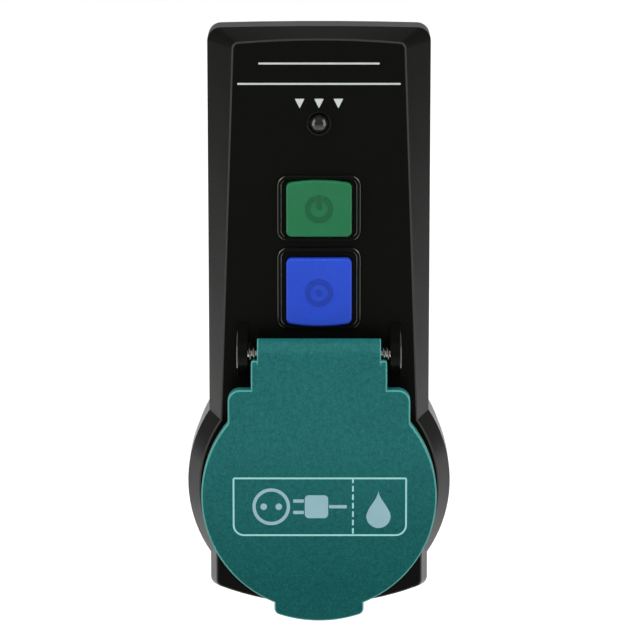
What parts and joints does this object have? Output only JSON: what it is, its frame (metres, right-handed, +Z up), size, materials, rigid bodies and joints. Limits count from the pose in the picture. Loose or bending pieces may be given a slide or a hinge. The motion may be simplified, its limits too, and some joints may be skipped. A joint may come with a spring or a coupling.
{
  "type": "residual current adapter plug",
  "caption": "Upright black plug-in adapter with a residual-current switch: rear plug with pins, push buttons, indicator lamp and a socket under a sprung teal lid.",
  "frame": {"origin": "middle of the plug's end face, midway between its two pins", "axes": "+X to the right seen from the front, +Y back into the wall socket along the pins, +Z up"},
  "size_m": [0.0634, 0.0805, 0.1422],
  "materials": {
    "housing_plastic": "semi-gloss black moulding",
    "socket_plastic": "semi-gloss black moulding",
    "lid_plastic": "fine satin teal moulding",
    "green_button": "satin green moulding",
    "blue_button": "satin blue moulding",
    "rubber": "matt black rubber",
    "steel": "bright zinc plated",
    "plug_pin": "bright nickel plated brass",
    "brass": "stamped brass",
    "line_insulation": "brown insulation",
    "neutral_insulation": "blue insulation",
    "clear_lens": "clear moulded lens",
    "lamp": "red lamp",
    "board": "green solder mask",
    "inner_plastic": "natural moulding",
    "copper": "enamelled copper wire",
    "core_steel": "coated core",
    "chip_plastic": "black epoxy",
    "capacitor_sleeve": "dark sleeve",
    "resistor_body": "beige body",
    "varistor_body": "blue coating"
  },
  "bodies": {
    "housing": {"front_shell": "housing_plastic", "rear_shell": "housing_plastic", "shell_seal": "rubber", "housing_screws": "steel", "line_pin": "plug_pin", "neutral_pin": "plug_pin", "plug_earth_strip": "brass", "socket_insert": "socket_plastic", "socket_earth_strip": "brass", "earth_link": "brass", "line_socket_contact": "brass", "neutral_socket_contact": "brass", "line_load_strip": "brass", "neutral_load_strip": "brass", "line_supply_contact": "brass", "neutral_supply_contact": "brass", "line_wire": "line_insulation", "neutral_wire": "neutral_insulation", "shutter_retainer": "socket_plastic", "shutter_spring": "steel", "hinge_pin": "steel", "hinge_spring_left": "steel", "hinge_spring_right": "steel", "reset_spring": "steel", "test_contact_strip": "brass", "indicator_lens": "clear_lens", "indicator_lamp": "lamp", "circuit_board": "board", "board_screws": "steel", "carrier_guide_pins": "steel", "carrier_springs": "steel", "trip_coil_frame": "steel", "trip_coil_bobbin": "inner_plastic", "trip_coil_winding": "copper", "plunger_spring": "steel", "transformer_core": "core_steel", "transformer_winding": "copper", "control_chip": "chip_plastic", "capacitors": "capacitor_sleeve", "rectifier_diodes": "chip_plastic", "test_resistor": "resistor_body", "varistor": "varistor_body"},
    "lid": {"lid": "lid_plastic", "lid_gasket": "rubber"},
    "reset_button": {"reset_button": "green_button"},
    "test_button": {"test_button": "blue_button"},
    "shutter": {"rotary_shutter": "socket_plastic"},
    "contact_carrier": {"contact_carrier": "inner_plastic", "contact_bridges": "brass"},
    "trip_plunger": {"trip_plunger": "steel", "latch_plate": "steel"}
  },
  "joints": [
    {"name": "lid_hinge", "type": "hinge", "parent": "housing", "child": "lid", "pos_m": [0, -0.0578, 0.034], "axis": [-1, 0, 0], "range_deg": [0, 165], "stiffness_Nm_per_rad": 0.008, "springref_deg": -68.75, "deforming": ["hinge_spring_left", "hinge_spring_right"]},
    {"name": "reset_button_slide", "type": "slide", "parent": "housing", "child": "reset_button", "axis": [0, 1, 0], "range_m": [0, 0.0022], "stiffness_N_per_m": 300, "springref_m": -0.002, "deforming": ["reset_spring"]},
    {"name": "test_button_slide", "type": "slide", "parent": "housing", "child": "test_button", "axis": [0, 1, 0], "range_m": [0, 0.002], "stiffness_N_per_m": 300, "springref_m": -0.002, "deforming": ["test_contact_strip"]},
    {"name": "shutter_turn", "type": "hinge", "parent": "housing", "child": "shutter", "pos_m": [0, -0.0363, 0], "axis": [0, 1, 0], "range_deg": [0, 36], "stiffness_Nm_per_rad": 0.002, "springref_deg": -28.65, "deforming": ["shutter_spring"]},
    {"name": "contact_carrier_slide", "type": "slide", "parent": "housing", "child": "contact_carrier", "axis": [0, -1, 0], "range_m": [0, 0.0012], "stiffness_N_per_m": 400, "springref_m": -0.001, "deforming": ["carrier_springs"]},
    {"name": "trip_plunger_slide", "type": "slide", "parent": "housing", "child": "trip_plunger", "axis": [0, 0, -1], "range_m": [0, 0.002], "stiffness_N_per_m": 100, "springref_m": -0.002, "deforming": ["plunger_spring"]}
  ]
}
